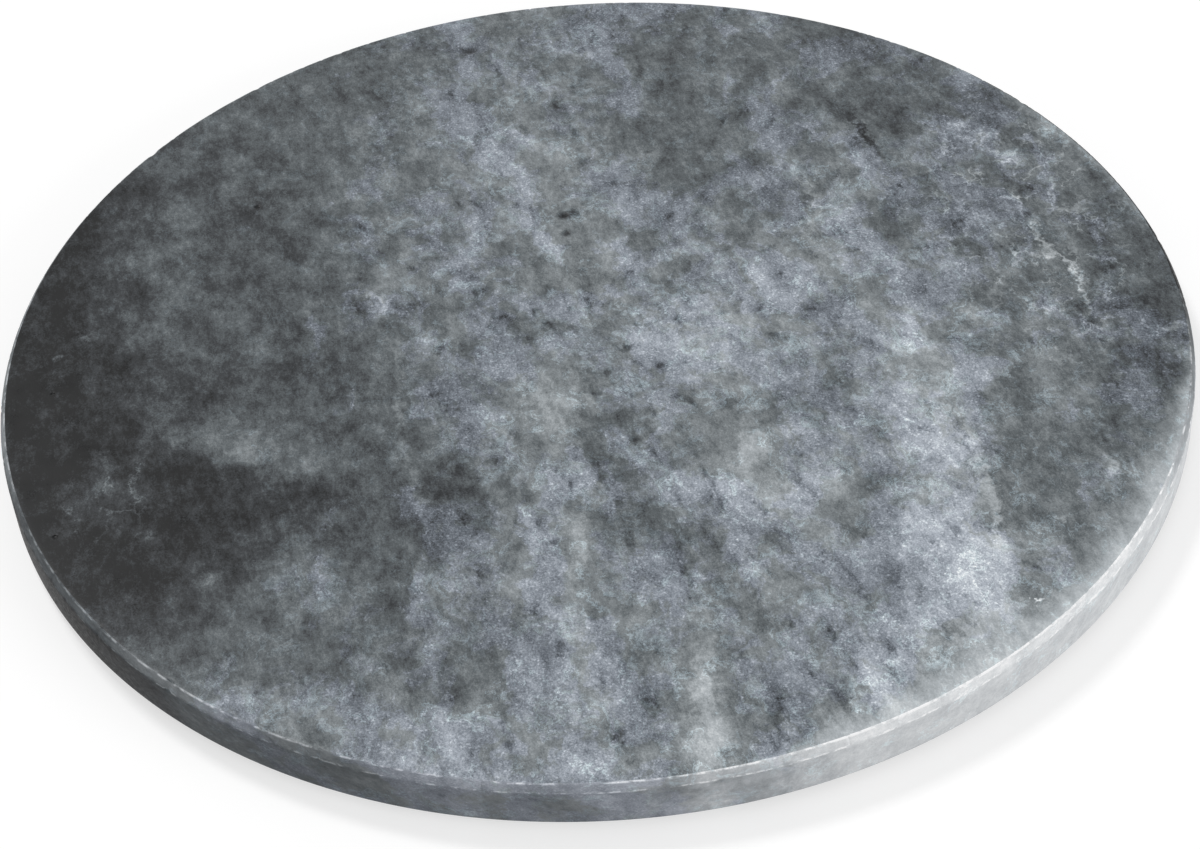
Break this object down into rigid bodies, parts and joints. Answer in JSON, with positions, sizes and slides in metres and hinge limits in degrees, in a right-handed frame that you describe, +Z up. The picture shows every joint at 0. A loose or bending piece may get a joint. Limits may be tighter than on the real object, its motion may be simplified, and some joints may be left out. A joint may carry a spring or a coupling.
{
  "type": "rolling board",
  "caption": "Round grey marble board for rolling out flatbread dough, with an eased top edge and rubber pads underneath.",
  "frame": {"origin": "on the worktop under the middle of the board, level with the undersides of the pads", "axes": "+Z up, square to the rolling surface; -Y towards the person who rolls, +X to the right; the pads lie between the axes"},
  "size_m": [0.3048, 0.3048, 0.0143],
  "materials": {
    "marble": "honed and lightly polished top, finely ground wall and underside",
    "pad_rubber": "matt moulded",
    "adhesive_film": "milky foam film"
  },
  "bodies": {
    "root": {"marble_slab": "marble", "rubber_pad_back_right": "pad_rubber", "rubber_pad_back_left": "pad_rubber", "rubber_pad_front_left": "pad_rubber", "rubber_pad_front_right": "pad_rubber", "adhesive_disc_back_right": "adhesive_film", "adhesive_disc_back_left": "adhesive_film", "adhesive_disc_front_left": "adhesive_film", "adhesive_disc_front_right": "adhesive_film"}
  },
  "joints": []
}
